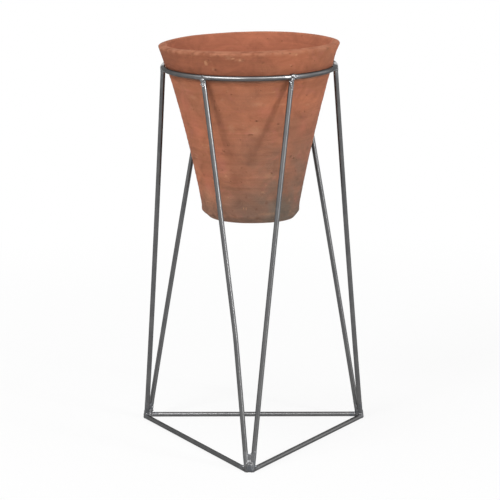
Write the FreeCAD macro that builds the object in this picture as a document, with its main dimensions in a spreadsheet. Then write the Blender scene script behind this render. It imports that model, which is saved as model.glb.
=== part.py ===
import FreeCAD, Part
import os
import Sketcher

os.makedirs("parts", exist_ok=True)
doc = FreeCAD.newDocument("planter_with_stand")

# The sheet of sizes: lengths in millimetres, angles in degrees
size_table = {
    # Round bar that the whole stand is welded from
    "rod_diameter": 6.0,
    # Base triangle, measured where the axes of its rods would meet
    "base_side": 284.7,
    "butt_depth": 0.8,
    # Two legs stand side by side in each corner, on the floor
    "foot_inset": 8.4,
    "foot_gap": 0.2,
    "foot_overrun_length": 4.0,
    # Each leg meets the ring this far round from its corner
    "leg_splay_angle": 30.0,
    "right_inner_splay_angle": 25.2,
    "leg_top_inset": 0.4,
    "leg_top_depth": 1.5,
    # The front left rod is slightly bent, as hand work leaves it
    "bend_height": 160.0,
    "bend_offset": 3.6,
    "bend_radius": 600.0,
    # Ring that carries the pot, open at its butt seam
    "ring_height": 463.4,
    "ring_radius": 104.6,
    "seam_gap": 1.6,
    "seam_offset": 0.8,
    # Weld between a leg and the ring: it widens upwards round the leg
    "ring_weld_height": 9.6,
    "ring_weld_top_width": 12.4,
    "ring_weld_tip_width": 7.0,
    "ring_weld_outer_depth": 4.3,
    "ring_weld_inner_depth": 2.4,
    "ring_weld_clearance": 0.02,
    # Weld that closes the ring's seam
    "seam_weld_diameter": 5.8,
    "seam_weld_offset": 1.8,
    "seam_weld_height": 1.0,
    "seam_weld_depth": 0.5,
    # Weld in a corner of the base: a nugget on the floor, and a web up between the legs
    "nugget_height": 9.6,
    "nugget_bottom_width": 11.4,
    "nugget_top_width": 8.6,
    "nugget_outer_depth": 4.4,
    "nugget_inner_depth": 5.2,
    "nugget_floor_gap": 0.4,
    "web_thickness": 3.4,
    "front_web_height": 21.0,
    "left_web_height": 17.0,
    "right_web_height": 15.0,
    "web_notch_diameter": 3.6,
    "web_notch_depth": 1.4,
    # Pot: its collar is a cone that wedges into the ring
    "seat_clearance": 0.3,
    "collar_flare_angle": 16.0,
    "collar_height": 30.0,
    "skirt_height": 2.6,
    "skirt_step_width": 1.1,
    "lip_width": 10.0,
    "lip_slope_height": 3.0,
    "lip_outer_radius": 2.0,
    "lip_inner_radius": 3.0,
    "skirt_chamfer_width": 0.6,
    # Pot: body, foot and inside
    "pot_depth": 183.9,
    "foot_radius": 58.7,
    "foot_chamfer_width": 8.1,
    "foot_chamfer_height": 8.0,
    "wall_bow_depth": 2.1,
    "wall_thickness": 9.5,
    "floor_thickness": 11.0,
    "floor_chamfer_width": 6.0,
    "drain_hole_diameter": 22.0,
}

sheet = doc.addObject("Spreadsheet::Sheet", "sizes")
for row, (alias, number) in enumerate(size_table.items(), start=1):
    sheet.set("A%d" % row, alias)
    sheet.set("B%d" % row, str(number))
    sheet.setAlias("B%d" % row, alias)
doc.recompute()

# A found edge may lie off its place by this share of its radius
edge_match_share = 0.001

# Corners of the base in order, and the way round to each leg, seen from above
corner_names = ("front", "right", "left")
sides = {"clockwise": "-1", "anticlockwise": "1"}
front_azimuth = -90.0
corner_turn = 360.0 / len(corner_names)
corner_azimuths = {name: front_azimuth + place * corner_turn for place, name in enumerate(corner_names)}
next_corners = dict(zip(corner_names, corner_names[1:] + corner_names[:1]))


def amount(expression):
    """The number that an expression over the sheet gives."""
    return float(sheet.evalExpression(expression))


def bind(thing, **expressions):
    """Ties properties of an object to expressions over the sheet."""
    for name, expression in expressions.items():
        thing.setExpression(name, expression)
    return thing


def vector(point):
    return "vector(%s; %s; %s)" % point


def minus(end, start):
    return tuple("(%s - %s)" % pair for pair in zip(end, start))


def span(step):
    return "sqrt(%s^2 + %s^2 + %s^2)" % step


def turned(point, axis, angle):
    """A placement at point, turned about an axis through it."""
    return "placement(%s; %s; %s)" % (vector(point), vector(axis), angle)


origin = ("0", "0", "0")
across_axis = ("1", "0", "0")
side_axis = ("0", "1", "0")
upright_axis = ("0", "0", "1")


def placed(point, turn):
    """A placement turned about the upright axis."""
    return turned(point, upright_axis, turn)


def along(start, end):
    """A placement at start whose Z axis points to end."""
    x, y, z = minus(end, start)
    tilt = "atan2(sqrt(%s^2 + %s^2); %s)" % (x, y, z)
    return "placement(%s; rotation(vector(-1 * %s; %s; 0); %s))" % (vector(start), y, x, tilt)


def polar(reach, azimuth, sideways="0"):
    """Plan coordinates of a point reach out at azimuth, then sideways to its left."""
    x = "((%s) * cos(%s) - (%s) * sin(%s))" % (reach, azimuth, sideways, azimuth)
    y = "((%s) * sin(%s) + (%s) * cos(%s))" % (reach, azimuth, sideways, azimuth)
    return x, y


def add(kind, name, **expressions):
    """A new object of the document whose sizes follow the sheet."""
    return bind(doc.addObject(kind, name), **expressions)


def cut(name, base, tool):
    piece = doc.addObject("Part::Cut", name)
    piece.Base = base
    piece.Tool = tool
    return piece


def common(name, first, second):
    piece = doc.addObject("Part::Common", name)
    piece.Base = first
    piece.Tool = second
    return piece


# Named lengths that several pieces share
rod_radius = "(sizes.rod_diameter / 2)"
corner_reach = "(sizes.base_side / sqrt(3))"
foot_reach = "(%s - sizes.foot_inset)" % corner_reach
top_reach = "(sizes.ring_radius - sizes.leg_top_inset)"
top_height = "(sizes.ring_height - sizes.leg_top_depth)"
foot_spread = "(sizes.rod_diameter + sizes.foot_gap)"


def bar(name, start, end):
    """A straight round bar between two points."""
    length = span(minus(end, start))
    return add("Part::Cylinder", name, Radius=rod_radius, Height=length, Placement=along(start, end))


def add_sketch(owner, name, role):
    sketch = owner.newObject("Sketcher::SketchObject", name)
    plane = [feature for feature in owner.Origin.OriginFeatures if feature.Role == role][0]
    sketch.AttachmentSupport = [(plane, "")]
    sketch.MapMode = "FlatFace"
    return sketch


def pin(sketch, geometry, end, place):
    """Fixes a point of a sketch at a place given by two expressions."""
    for kind, axis, expression in (("DistanceX", -2, place[0]), ("DistanceY", -1, place[1])):
        if expression == "0":
            sketch.addConstraint(Sketcher.Constraint("PointOnObject", geometry, end, axis))
            continue
        value = amount(expression)
        index = sketch.addConstraint(Sketcher.Constraint(kind, -1, 1, geometry, end, value))
        sketch.setExpression("Constraints[%d]" % index, expression)


def bow_radius(start, end, bow):
    """Radius of an arc that leaves its chord by bow."""
    chord = "(((%s) - (%s))^2 + ((%s) - (%s))^2)" % (end[0], start[0], end[1], start[1])
    return "abs(%s / (8 * (%s)) + (%s) / 2)" % (chord, bow, bow)


straight = "0"


def outline(sketch, points):
    """Draws a closed outline. Each point comes with how far the side after it bows to its left."""
    corners = [(x, y) for x, y, bow in points]
    bows = [bow for x, y, bow in points]
    count = len(corners)
    spots = [FreeCAD.Vector(amount(x), amount(y), 0) for x, y in corners]
    for index in range(count):
        start = spots[index]
        end = spots[(index + 1) % count]
        if bows[index] == straight:
            sketch.addGeometry(Part.LineSegment(start, end))
        else:
            chord = end - start
            left = FreeCAD.Vector(-chord.y, chord.x, 0).normalize()
            middle = (start + end) / 2 + left * amount(bows[index])
            sketch.addGeometry(Part.Arc(start, middle, end))
    ends = []
    for index in range(count):
        first = sketch.getPoint(index, 1)
        forward = first.distanceToPoint(spots[index]) < first.distanceToPoint(spots[(index + 1) % count])
        ends.append((1, 2) if forward else (2, 1))
    for index in range(count):
        after = (index + 1) % count
        joint = Sketcher.Constraint("Coincident", index, ends[index][1], after, ends[after][0])
        sketch.addConstraint(joint)
        pin(sketch, index, ends[index][0], corners[index])
        if bows[index] != straight:
            radius = bow_radius(corners[index], corners[after], bows[index])
            row = sketch.addConstraint(Sketcher.Constraint("Radius", index, amount(radius)))
            sketch.setExpression("Constraints[%d]" % row, radius)


def circle_edges(feature, radius, height):
    """Names of the edges of a turned shape at a given radius and height."""
    wanted = amount(radius)
    level = amount(height)
    slack = wanted * edge_match_share
    names = []
    for index, edge in enumerate(feature.Shape.Edges, start=1):
        curve = edge.Curve
        if not isinstance(curve, Part.Circle):
            continue
        if abs(curve.Radius - wanted) < slack and abs(curve.Center.z - level) < slack:
            names.append("Edge%d" % index)
    return names


def dressed(owner, base, kind, name, radius, height, **size):
    """Rounds or chamfers the turned edge at a given radius and height."""
    feature = owner.newObject(kind, name)
    feature.Base = (base, circle_edges(base, radius, height))
    bind(feature, **size)
    doc.recompute()
    return feature


# Ring: one rolled rod, its seam just past the top of the front right leg
ring_centre = ("0", "0", "sizes.ring_height")
front_right_azimuth = "(%s + sizes.leg_splay_angle)" % front_azimuth
seam_azimuth = "(%s + sizes.seam_offset / sizes.ring_radius * 180 / pi)" % front_right_azimuth
seam_angle = "(sizes.seam_gap / sizes.ring_radius * 180 / pi)"

support_ring = doc.addObject("PartDesign::Body", "support_ring")
ring_section = add_sketch(support_ring, "ring_section", "XZ_Plane")
section_circle = Part.Circle()
section_circle.Center = FreeCAD.Vector(amount("sizes.ring_radius"), amount("sizes.ring_height"), 0)
section_circle.Radius = amount(rod_radius)
ring_section.addGeometry(section_circle)
pin(ring_section, 0, 3, ("sizes.ring_radius", "sizes.ring_height"))
section_size = Sketcher.Constraint("Diameter", 0, amount("sizes.rod_diameter"))
section_row = ring_section.addConstraint(section_size)
ring_section.setExpression("Constraints[%d]" % section_row, "sizes.rod_diameter")
ring_rolled = support_ring.newObject("PartDesign::Revolution", "ring_rolled")
ring_rolled.Profile = ring_section
ring_rolled.ReferenceAxis = (ring_section, ["V_Axis"])
bind(ring_rolled, Angle="360 - %s" % seam_angle)
doc.recompute()
bind(support_ring, Placement=placed(origin, "%s + %s / 2" % (seam_azimuth, seam_angle)))

# The full round of the ring, which copes the leg tops
ring_round = add("Part::Torus", "ring_round", Radius1="sizes.ring_radius", Radius2=rod_radius,
                 Placement=placed(ring_centre, "0"))

# Everything below the floor, which cuts the feet flat
floor_side = "2 * sizes.base_side"
floor_depth = "2 * sizes.foot_overrun_length"
floor_corner = ("-1 * sizes.base_side", "-1 * sizes.base_side")


def below(name, height):
    """A block that holds everything under a height."""
    corner = floor_corner + ("(%s - %s)" % (height, floor_depth),)
    return add("Part::Box", name, Length=floor_side, Width=floor_side, Height=floor_depth,
               Placement=placed(corner, "0"))


floor_block = below("floor_block", "0")


def leg_ends(corner, side, splay):
    """The points where a leg's axis meets the floor and ends under the ring."""
    azimuth = corner_azimuths[corner]
    foot = polar(foot_reach, azimuth, "%s * %s / 2" % (sides[side], foot_spread)) + ("0",)
    top = polar(top_reach, "(%s + %s * %s)" % (azimuth, sides[side], splay)) + (top_height,)
    return foot, top


def past_foot(foot, top):
    """A point on a leg's axis, below the floor."""
    share = "(sizes.foot_overrun_length / %s)" % top_height
    return tuple("(%s - %s * %s)" % (a, b, share) for a, b in zip(foot, minus(top, foot)))


def bent_bar(name, foot, top):
    """A bar of two straight runs, with a slight bend towards the leg beside it."""
    chord = span(minus(top, foot))
    knee = ("sizes.bend_offset", "(sizes.bend_height * %s / %s)" % (chord, top_height))
    lower_run = "sqrt(%s^2 + %s^2)" % knee
    start = tuple("(-1 * sizes.foot_overrun_length * %s / %s)" % (part, lower_run) for part in knee)
    spots = [FreeCAD.Vector(amount(x), amount(y), 0) for x, y in (start, knee, ("0", chord))]
    shoulder = amount("sizes.bend_offset")
    path = doc.addObject("Sketcher::SketchObject", name + "_path")
    low = spots[1] + (spots[0] - spots[1]).normalize() * shoulder
    high = spots[1] + (spots[2] - spots[1]).normalize() * shoulder
    path.addGeometry(Part.LineSegment(spots[0], low))
    path.addGeometry(Part.LineSegment(high, spots[2]))
    path.addGeometry(Part.Arc(low, (low + high + spots[1] * 2) / 4, high))
    path.addGeometry(Part.Point(spots[1]), True)
    first = path.getPoint(2, 1)
    starts_low = first.distanceToPoint(low) < first.distanceToPoint(high)
    low_end, high_end = (1, 2) if starts_low else (2, 1)
    path.addConstraint(Sketcher.Constraint("Tangent", 0, 2, 2, low_end))
    path.addConstraint(Sketcher.Constraint("Tangent", 1, 1, 2, high_end))
    path.addConstraint(Sketcher.Constraint("PointOnObject", 3, 1, 0))
    path.addConstraint(Sketcher.Constraint("PointOnObject", 3, 1, 1))
    pin(path, 0, 1, start)
    pin(path, 3, 1, knee)
    pin(path, 1, 2, ("0", chord))
    row = path.addConstraint(Sketcher.Constraint("Radius", 2, amount("sizes.bend_radius")))
    path.setExpression("Constraints[%d]" % row, "sizes.bend_radius")
    upright = "%s * %s" % (along(foot, top), turned(origin, across_axis, "90"))
    bind(path, Placement=upright)
    start_in_path = along(start + ("0",), knee + ("0",))
    section = add("Part::Circle", name + "_section", Radius=rod_radius,
                  Placement="%s * %s" % (upright, start_in_path))
    doc.recompute()
    rod = doc.addObject("Part::Sweep", name)
    rod.Sections = [section]
    rod.Spine = (path, ["Edge%d" % number for number in range(1, len(path.Shape.Edges) + 1)])
    rod.Solid = True
    return rod


# Legs: a name, its corner, the way round from there, the angle to its top, and its form
leg_table = (
    ("front_left_leg", "front", "clockwise", "sizes.leg_splay_angle", "bent"),
    ("front_right_leg", "front", "anticlockwise", "sizes.leg_splay_angle", "straight"),
    ("right_outer_leg", "right", "clockwise", "sizes.leg_splay_angle", "straight"),
    ("right_inner_leg", "right", "anticlockwise", "sizes.right_inner_splay_angle", "straight"),
    ("left_inner_leg", "left", "clockwise", "sizes.leg_splay_angle", "straight"),
    ("left_outer_leg", "left", "anticlockwise", "sizes.leg_splay_angle", "straight"),
)
bars = {}
legs = {}
for name, corner, side, splay, form in leg_table:
    foot, top = leg_ends(corner, side, splay)
    if form == "bent":
        rod = bent_bar(name + "_bar", foot, top)
    else:
        rod = bar(name + "_bar", past_foot(foot, top), top)
    bars[corner, side] = rod
    coped = cut(name + "_coped", rod, ring_round)
    legs[corner, side] = cut(name, coped, floor_block)

# Base rods: each runs along one side of the triangle and butts against a leg at both ends
half_corner = corner_turn / 4
foot_along = "(%s / 2 * sin(%s) + sizes.foot_inset * cos(%s))" % (foot_spread, half_corner, half_corner)
rod_setback = "(%s + %s - sizes.butt_depth)" % (foot_along, rod_radius)
base_names = {"front": "right_base_rod", "right": "back_base_rod", "left": "left_base_rod"}
base_rods = {}
for corner, name in base_names.items():
    following = next_corners[corner]
    heading = corner_azimuths[corner] + 90 + corner_turn / 2
    start_x, start_y = polar(corner_reach, corner_azimuths[corner])
    end_x, end_y = polar(corner_reach, corner_azimuths[following])
    back_x, back_y = polar(rod_setback, heading)
    start = ("(%s + %s)" % (start_x, back_x), "(%s + %s)" % (start_y, back_y), rod_radius)
    end = ("(%s - %s)" % (end_x, back_x), "(%s - %s)" % (end_y, back_y), rod_radius)
    plain = bar(name + "_bar", start, end)
    coped = cut(name + "_coped", plain, bars[corner, "anticlockwise"])
    base_rods[corner] = cut(name, coped, bars[following, "clockwise"])


def bead(name, frame, bottom_width, top_width, height, inner_depth, outer_depth):
    """A weld bead round the Z axis of a frame: a tapered drum, its inside and outside made flat.

    The frame's X axis points outwards, and its origin is in the middle of the bead's bottom.
    """
    drum = add("Part::Cone", name + "_drum", Radius1="(%s) / 2" % bottom_width, Radius2="(%s) / 2" % top_width,
               Height=height, Placement=frame)
    slab_width = "(%s + %s)" % (bottom_width, top_width)
    slab_corner = ("-1 * %s" % inner_depth, "-1 * %s / 2" % slab_width, "0")
    slab = add("Part::Box", name + "_slab", Length="%s + %s" % (inner_depth, outer_depth), Width=slab_width,
               Height=height, Placement="%s * %s" % (frame, placed(slab_corner, "0")))
    return common(name + "_metal", drum, slab)


# Welds under the ring, one round the outside of each leg top. The ring curves away from the straight
# bar that shapes a weld's top by weld_sag
weld_sag = "((sizes.ring_weld_top_width / 2)^2 / (2 * sizes.ring_radius))"
ring_welds = {}
for name, corner, side, splay, form in leg_table:
    weld_name = name.replace("_leg", "_ring_weld")
    azimuth = "(%s + %s * %s)" % (corner_azimuths[corner], sides[side], splay)
    foot, top = leg_ends(corner, side, splay)
    weld_foot = ("0", "0", "(%s - sizes.ring_weld_height)" % span(minus(top, foot)))
    frame = "%s * %s" % (along(foot, top), placed(weld_foot, azimuth))
    metal = bead(weld_name, frame, "sizes.ring_weld_tip_width", "sizes.ring_weld_top_width",
                 "sizes.ring_weld_height", "sizes.ring_weld_inner_depth", "sizes.ring_weld_outer_depth")
    groove_reach = "(sizes.ring_radius - %s / 2)" % weld_sag
    groove_length = "(2 * sizes.ring_weld_top_width)"
    groove_start = polar(groove_reach, azimuth, "-1 * %s / 2" % groove_length) + ("sizes.ring_height",)
    groove_end = polar(groove_reach, azimuth, "%s / 2" % groove_length) + ("sizes.ring_height",)
    groove = add("Part::Cylinder", weld_name + "_groove", Height=groove_length,
                 Radius="%s + %s / 2 + sizes.ring_weld_clearance" % (rod_radius, weld_sag),
                 Placement=along(groove_start, groove_end))
    under_ring = cut(weld_name + "_under_ring", metal, groove)
    ring_welds[corner, side] = cut(weld_name, under_ring, legs[corner, side])

# Weld that closes the seam of the ring, a round blob mostly on its right
seam_weld_azimuth = "(%s + sizes.seam_weld_offset / sizes.ring_radius * 180 / pi)" % front_right_azimuth
seam_weld_reach = "(sizes.ring_radius + sizes.seam_weld_depth)"
seam_centre = polar(seam_weld_reach, seam_weld_azimuth) + ("(sizes.ring_height + sizes.seam_weld_height)",)
seam_lump = add("Part::Sphere", "ring_seam_lump", Radius="sizes.seam_weld_diameter / 2",
                Placement=placed(seam_centre, seam_weld_azimuth))
seam_on_ring = cut("ring_seam_on_ring", seam_lump, support_ring)
seam_on_leg = cut("ring_seam_on_leg", seam_on_ring, legs["front", "anticlockwise"])
ring_seam_weld = cut("ring_seam_weld", seam_on_leg, ring_welds["front", "anticlockwise"])

# Welds in the corners of the base
leg_run = "(%s - %s * cos(sizes.leg_splay_angle))" % (foot_reach, top_reach)
leg_tilt = "atan2(%s; %s)" % (leg_run, top_height)
top_spread = "(%s * sin(sizes.leg_splay_angle))" % top_reach
leg_spread = "((%s - %s / 2) / %s)" % (top_spread, foot_spread, top_height)
corner_welds = []
for corner, azimuth in corner_azimuths.items():
    name = corner + "_corner_weld"
    middle = polar(foot_reach, azimuth)
    nugget = bead(name + "_nugget", placed(middle + ("sizes.nugget_floor_gap",), azimuth),
                  "sizes.nugget_bottom_width", "sizes.nugget_top_width", "sizes.nugget_height",
                  "sizes.nugget_inner_depth", "sizes.nugget_outer_depth")
    web_height = "sizes.%s_web_height" % corner
    horn_height = "(%s + sizes.web_notch_depth)" % web_height
    web_top_width = "(%s + 2 * %s * %s)" % (foot_spread, horn_height, leg_spread)
    leaning = "%s * %s" % (placed(middle + ("0",), azimuth), turned(origin, side_axis, "-1 * " + leg_tilt))
    web = add("Part::Wedge", name + "_web", Placement="%s * %s" % (leaning, turned(origin, across_axis, "90")),
              Xmin="-1 * sizes.web_thickness / 2", Xmax="sizes.web_thickness / 2",
              X2min="-1 * sizes.web_thickness / 2", X2max="sizes.web_thickness / 2",
              Ymin="0", Ymax=horn_height,
              Zmin="-1 * %s / 2" % foot_spread, Zmax="%s / 2" % foot_spread,
              Z2min="-1 * %s / 2" % web_top_width, Z2max="%s / 2" % web_top_width)
    notch_centre = ("-1 * sizes.web_thickness", "0", "%s + sizes.web_notch_diameter / 2" % web_height)
    notch = add("Part::Cylinder", name + "_notch", Radius="sizes.web_notch_diameter / 2",
                Height="2 * sizes.web_thickness",
                Placement="%s * %s" % (leaning, turned(notch_centre, side_axis, "90")))
    notched = cut(name + "_notched", web, notch)
    metal = doc.addObject("Part::Fuse", name + "_metal")
    metal.Base = nugget
    metal.Tool = notched
    weld = cut(name + "_lifted", metal, below(name + "_under", "sizes.nugget_floor_gap"))
    before = [base_rods[start] for start, end in next_corners.items() if end == corner][0]
    rods = {
        "first_leg": legs[corner, "clockwise"],
        "second_leg": legs[corner, "anticlockwise"],
        "first_rod": before,
    }
    for place, rod in rods.items():
        weld = cut("%s_on_%s" % (name, place), weld, rod)
    corner_welds.append(cut(name, weld, base_rods[corner]))

# Pot: its heights are counted from its underside
pot = doc.addObject("PartDesign::Body", "pot")
seat_offset = "((%s + sizes.seat_clearance) / cos(sizes.collar_flare_angle))" % rod_radius
seat_radius = "(sizes.ring_radius - %s)" % seat_offset
skirt_level = "(sizes.pot_depth - sizes.skirt_height)"
skirt_radius = "(%s - sizes.skirt_height * tan(sizes.collar_flare_angle))" % seat_radius
neck_radius = "(%s - sizes.skirt_step_width)" % skirt_radius
lip_level = "(sizes.pot_depth + sizes.collar_height)"
lip_radius = "(%s + sizes.collar_height * tan(sizes.collar_flare_angle))" % seat_radius
crest_level = "(%s + sizes.lip_slope_height)" % lip_level
mouth_radius = "(%s - sizes.lip_width)" % lip_radius
inner_neck_radius = "(%s - sizes.wall_thickness)" % neck_radius
inner_foot_radius = "(sizes.foot_radius - sizes.wall_thickness)"
pot_profile = (
    ("0", "0", straight),
    ("(sizes.foot_radius - sizes.foot_chamfer_width)", "0", straight),
    ("sizes.foot_radius", "sizes.foot_chamfer_height", "sizes.wall_bow_depth"),
    (neck_radius, skirt_level, straight),
    (skirt_radius, skirt_level, straight),
    (lip_radius, lip_level, straight),
    (mouth_radius, crest_level, straight),
    (inner_neck_radius, skirt_level, "-1 * sizes.wall_bow_depth"),
    (inner_foot_radius, "sizes.floor_thickness", straight),
    ("0", "sizes.floor_thickness", straight),
)
profile_sketch = add_sketch(pot, "pot_profile", "XZ_Plane")
outline(profile_sketch, pot_profile)
thrown = pot.newObject("PartDesign::Revolution", "pot_thrown")
thrown.Profile = profile_sketch
thrown.ReferenceAxis = (profile_sketch, ["V_Axis"])
thrown.Angle = 360
doc.recompute()

fillet = "PartDesign::Fillet"
chamfer = "PartDesign::Chamfer"
shaped = dressed(pot, thrown, fillet, "lip_outer_edge", lip_radius, lip_level, Radius="sizes.lip_outer_radius")
shaped = dressed(pot, shaped, fillet, "lip_inner_edge", mouth_radius, crest_level,
                 Radius="sizes.lip_inner_radius")
shaped = dressed(pot, shaped, chamfer, "skirt_edge", skirt_radius, skirt_level,
                 Size="sizes.skirt_chamfer_width")
shaped = dressed(pot, shaped, chamfer, "inner_floor_edge", inner_foot_radius, "sizes.floor_thickness",
                 Size="sizes.floor_chamfer_width")

drain_sketch = add_sketch(pot, "drain_circle", "XY_Plane")
drain_circle = Part.Circle()
drain_circle.Radius = amount("sizes.drain_hole_diameter / 2")
drain_sketch.addGeometry(drain_circle)
drain_sketch.addConstraint(Sketcher.Constraint("Coincident", 0, 3, -1, 1))
row = drain_sketch.addConstraint(Sketcher.Constraint("Diameter", 0, amount("sizes.drain_hole_diameter")))
drain_sketch.setExpression("Constraints[%d]" % row, "sizes.drain_hole_diameter")
drain_hole = pot.newObject("PartDesign::Pocket", "drain_hole")
drain_hole.Profile = drain_sketch
drain_hole.Type = "ThroughAll"
drain_hole.Reversed = True
bind(pot, Placement=placed(("0", "0", "(sizes.ring_height - sizes.pot_depth)"), "0"))
doc.recompute()

pieces = [pot, support_ring, ring_seam_weld]
pieces += list(legs.values()) + list(base_rods.values()) + list(ring_welds.values()) + corner_welds

for thing in doc.Objects:
    if "Invalid" in thing.State or "Error" in thing.State:
        raise RuntimeError("%s did not build" % thing.Label)
for piece in pieces:
    if piece.Shape.isNull() or not piece.Shape.isValid():
        raise RuntimeError("%s has no valid shape" % piece.Label)
    if len(piece.Shape.Solids) != 1:
        raise RuntimeError("%s is not one solid" % piece.Label)
    piece.Shape.exportStep("parts/%s.step" % piece.Label)
    print(piece.Label, round(piece.Shape.Volume, 1))
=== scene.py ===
import math
import random

import bmesh
import bpy
import numpy
from mathutils import Matrix, Vector, noise
from mathutils.bvhtree import BVHTree
from mathutils.kdtree import KDTree


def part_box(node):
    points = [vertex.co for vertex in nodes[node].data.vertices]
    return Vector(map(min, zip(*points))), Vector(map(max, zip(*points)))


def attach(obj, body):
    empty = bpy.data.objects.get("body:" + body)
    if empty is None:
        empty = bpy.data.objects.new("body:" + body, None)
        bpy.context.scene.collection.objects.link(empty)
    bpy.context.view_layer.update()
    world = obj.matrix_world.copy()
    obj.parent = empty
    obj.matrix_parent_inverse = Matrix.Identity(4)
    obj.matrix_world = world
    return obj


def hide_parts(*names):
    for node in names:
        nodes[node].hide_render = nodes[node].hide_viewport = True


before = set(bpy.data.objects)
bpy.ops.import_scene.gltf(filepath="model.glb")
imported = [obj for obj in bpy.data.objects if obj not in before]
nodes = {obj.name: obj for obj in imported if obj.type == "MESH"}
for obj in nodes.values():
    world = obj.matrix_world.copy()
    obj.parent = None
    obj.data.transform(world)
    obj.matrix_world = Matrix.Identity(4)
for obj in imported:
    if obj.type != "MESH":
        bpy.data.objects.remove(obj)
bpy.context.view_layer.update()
scene = bpy.context.scene
print("frame loaded with", len(nodes), "nodes")

# sizes are metres and angles degrees, unless a note says otherwise
shot = {
    "lens": 185.05,  # mm, on the sensor of 36 mm
    "sensor": 36.0,
    "place": (0.0713, -3.0822, 0.9097),
    "heading": 1.3415,  # to the left of straight on
    "pitch": 12.3323,  # looking down
    "roll": 0.4801,
}


def makeCamera():
    data = bpy.data.cameras.new("camera")
    data.lens = shot["lens"]
    data.sensor_width = shot["sensor"]
    camera = bpy.data.objects.new("camera", data)
    scene.collection.objects.link(camera)
    turn = Matrix.Rotation(math.radians(shot["heading"]), 4, "Z")
    turn = turn @ Matrix.Rotation(math.radians(90 - shot["pitch"]), 4, "X")
    turn = turn @ Matrix.Rotation(math.radians(-shot["roll"]), 4, "Z")
    camera.matrix_world = Matrix.Translation(shot["place"]) @ turn
    scene.camera = camera


makeCamera()


# helpers for shader nodes
def tone(red, green, blue):
    shares = [value / 255 for value in (red, green, blue)]
    return tuple(((s + 0.055) / 1.055) ** 2.4 if s > 0.04045 else s / 12.92 for s in shares) + (1.0,)


def add(tree, kind, values=None, **settings):
    node = tree.nodes.new("ShaderNode" + kind)
    for key, value in settings.items():
        setattr(node, key, value)
    for key, value in (values or {}).items():
        if isinstance(value, bpy.types.NodeSocket):
            tree.links.new(value, node.inputs[key])
        else:
            node.inputs[key].default_value = value
    return node


def newMaterial(name):
    material = bpy.data.materials.new(name)
    material.use_nodes = True
    tree = material.node_tree
    tree.nodes.clear()
    shader = add(tree, "BsdfPrincipled")
    add(tree, "OutputMaterial", {"Surface": shader.outputs[0]})
    return material, tree, shader


def mixColours(tree, share, first, second, how="MIX"):
    values = {0: share, 6: first, 7: second}
    return add(tree, "Mix", values, data_type="RGBA", blend_type=how).outputs[2]


def spread(tree, value, low, high, toLow=0.0, toHigh=1.0):
    values = {"Value": value, "From Min": low, "From Max": high, "To Min": toLow, "To Max": toHigh}
    return add(tree, "MapRange", values).outputs["Result"]


def combine(tree, how, first, second):
    return add(tree, "Math", {0: first, 1: second}, operation=how).outputs[0]


def times(tree, first, second):
    return combine(tree, "MULTIPLY", first, second)


def grain(tree, place, scale, detail=3.0, rough=0.55, warp=0.0):
    stretched = add(tree, "Mapping", {"Vector": place, "Scale": scale}).outputs[0]
    values = {"Vector": stretched, "Scale": 1.0, "Detail": detail, "Roughness": rough, "Distortion": warp}
    return add(tree, "TexNoise", values).outputs[0]


def grains(tree, place, look):
    return {name: grain(tree, place, *values) for name, values in look["patterns"].items()}


def specks(tree, place, scale, size, kept):
    cells = add(tree, "TexVoronoi", {"Vector": place, "Scale": scale})
    near = spread(tree, cells.outputs["Distance"], *size)
    return times(tree, near, spread(tree, cells.outputs["Color"], *kept))


def attribute(tree, name, output="Fac"):
    return add(tree, "Attribute", attribute_name=name).outputs[output]


def bumped(tree, height, distance, below=None):
    values = {"Height": height, "Strength": 1.0, "Distance": distance}
    if below:
        values["Normal"] = below
    return add(tree, "Bump", values).outputs[0]


def wire(tree, shader, colour, rough, normal):
    for key, socket in (("Base Color", colour), ("Roughness", rough), ("Normal", normal)):
        tree.links.new(socket, shader.inputs[key])


def setSockets(shader, values):
    for key, value in values.items():
        shader.inputs[key].default_value = value


def onBox(node):
    low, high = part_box(node)
    return low, high, (low + high) / 2


# the pot: one wall, turned by hand, with its heights taken from the underside
potLow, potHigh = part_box("pot")
lipSpare = 0.0006  # the hand work then draws the wall in a little
potSizes = {
    "turns": 288,
    "mergeGap": 0.00001,
    "sharpAngle": 50,
    "holeRadius": 0.011,
    "floorThickness": 0.011,
    "floorChamfer": 0.006,
    "underRadius": 0.0506,
    "footRadius": 0.0587,
    "footHeight": 0.008,
    "wallBow": 0.0021,
    "neckRadius": 0.09932,
    "neckHeight": 0.1813,
    "skirtRadius": 0.10042,
    "lipSlopeFoot": 0.2139,
    "lipRadius": (potHigh.x - potLow.x) / 2 + lipSpare,
    "mouthRadius": 0.09977,
    "crestHeight": 0.2169,
    "lipRoundOut": 0.002,
    "lipRoundIn": 0.003,
    "innerNeckRadius": 0.08982,
    "innerFootRadius": 0.0492,
    "innerFootFlare": 0.0016,  # how much wider the wall starts, above the floor's chamfer
}
potSteps = {  # rings of faces along each stretch of the outline
    "under": 14,
    "foot": 8,
    "body": 126,
    "skirt": 2,
    "collar": 22,
    "lipRound": 5,
    "rim": 6,
    "rimRound": 7,
    "innerCollar": 22,
    "innerBody": 70,
    "floorChamfer": 6,
    "floor": 14,
    "hole": 6,
}


def stretch(start, end, count, bow=0.0):
    run = Vector(end) - Vector(start)
    side = Vector((run.y, -run.x)).normalized()
    shares = [step / count for step in range(count)]
    return [Vector(start) + run * s + side * bow * 4 * s * (1 - s) for s in shares]


def rounded(before, corner, after, radius, count):
    first = (Vector(before) - Vector(corner)).normalized()
    second = (Vector(after) - Vector(corner)).normalized()
    half = first.angle(second) / 2
    middle = Vector(corner) + (first + second).normalized() * radius / math.sin(half)
    start = Vector(corner) + first * radius / math.tan(half) - middle
    end = Vector(corner) + second * radius / math.tan(half) - middle
    return [middle + start.slerp(end, step / count).normalized() * radius for step in range(count + 1)]


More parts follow.
